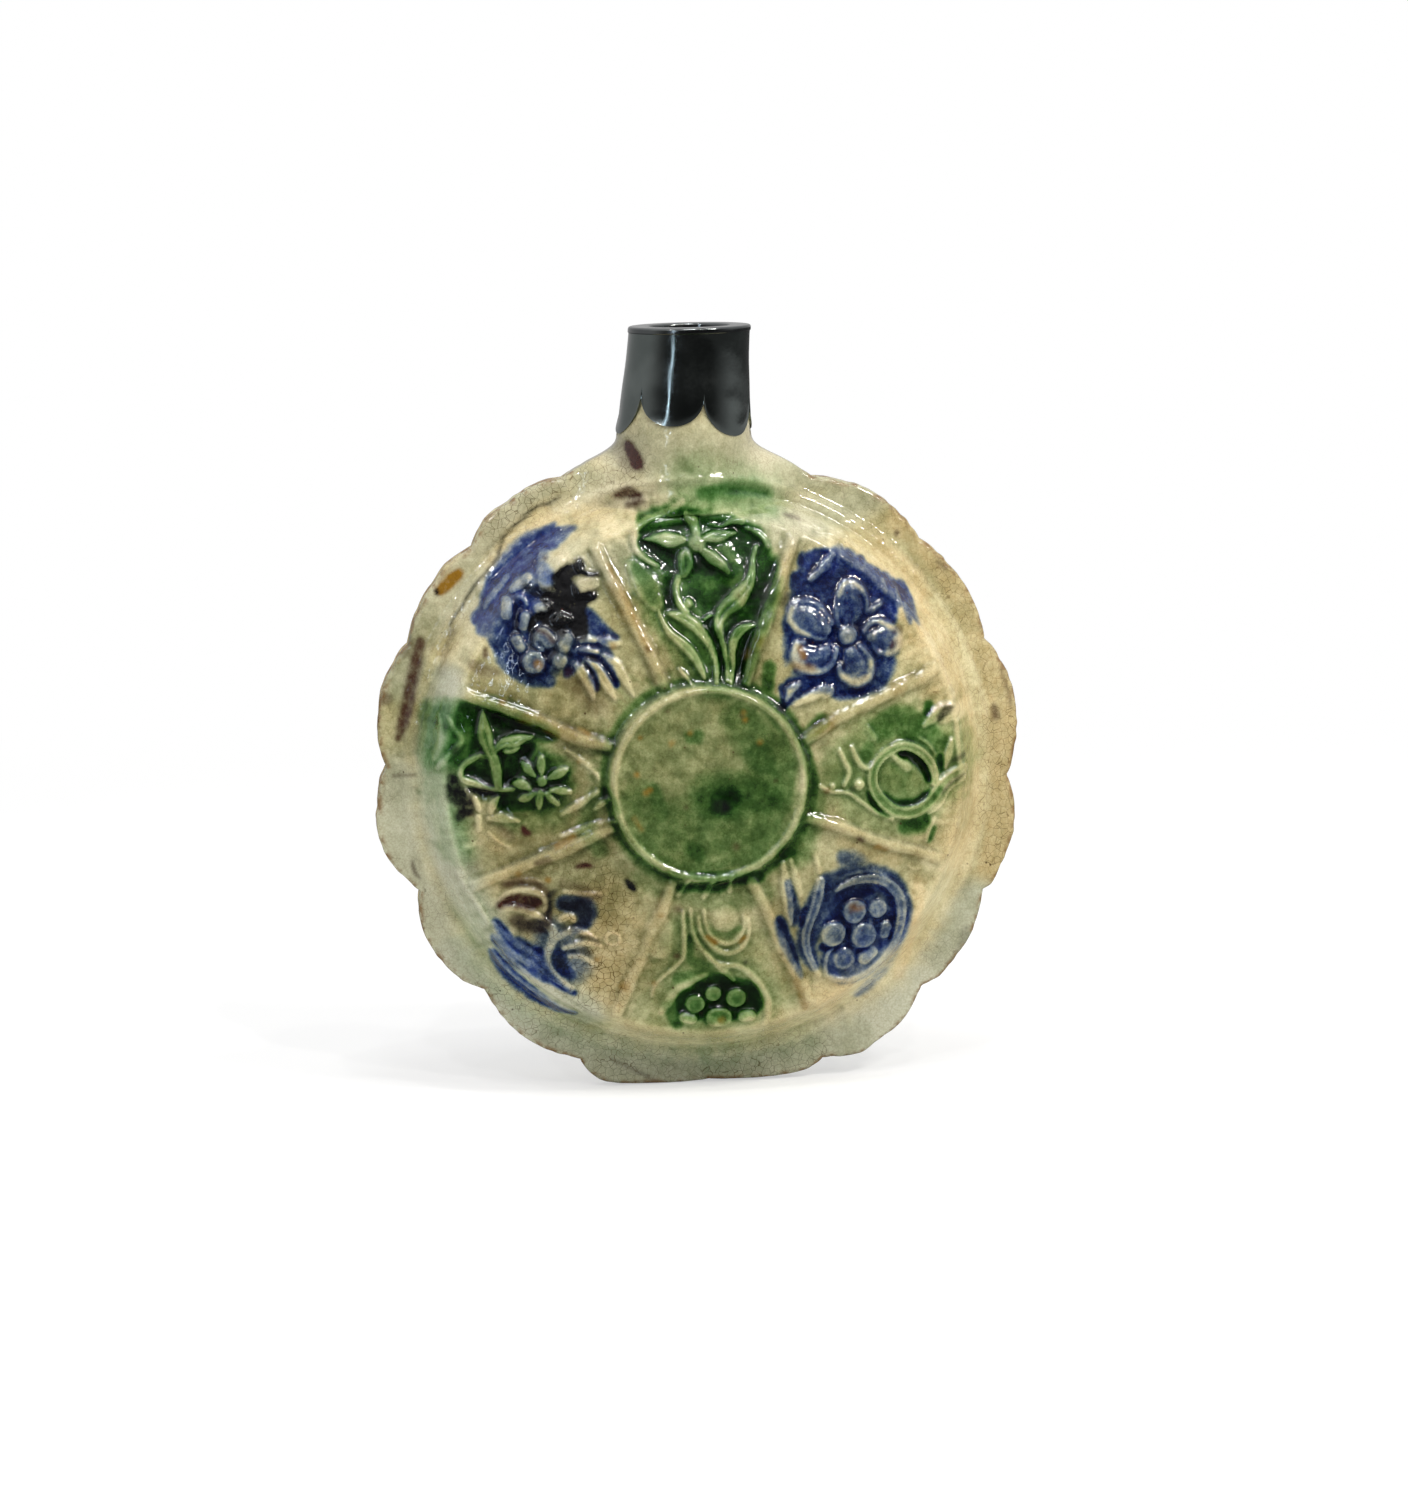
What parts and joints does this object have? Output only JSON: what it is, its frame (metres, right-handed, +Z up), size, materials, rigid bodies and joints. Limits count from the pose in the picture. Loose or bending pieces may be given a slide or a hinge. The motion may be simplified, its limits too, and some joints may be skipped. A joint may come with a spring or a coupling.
{
  "type": "pottery spirit flask",
  "caption": "Round flat moulded pottery flask with a scalloped rim, relief panels round a ringed boss, and a lobed metal mount on its neck.",
  "frame": {"origin": "on the ground under the middle of the body, with the flask upright on its rim", "axes": "+Z up along the neck, front face towards -Y, thickness along Y"},
  "size_m": [0.117, 0.045, 0.139],
  "materials": {
    "front_glaze": "thick glossy lead glaze over cream pottery, stained green and blue with brown dabs, worn and crackled",
    "back_glaze": "glossy lead glaze over cream pottery, stained green and blue",
    "neck_glaze": "glossy cream glaze with fine crackle",
    "slip": "matt fired slip",
    "plaster": "matt plaster",
    "dark_sheet": "thin sheet metal tarnished nearly black, glossy",
    "dark_lip": "tarnished metal, worn brighter on its edge"
  },
  "bodies": {
    "root": {"front_half": "front_glaze", "back_half": "back_glaze", "luting_seam": "slip", "neck_tube": "neck_glaze", "mount_bedding": "plaster", "mount_sleeve": "dark_sheet", "mount_lip": "dark_lip"}
  },
  "joints": []
}
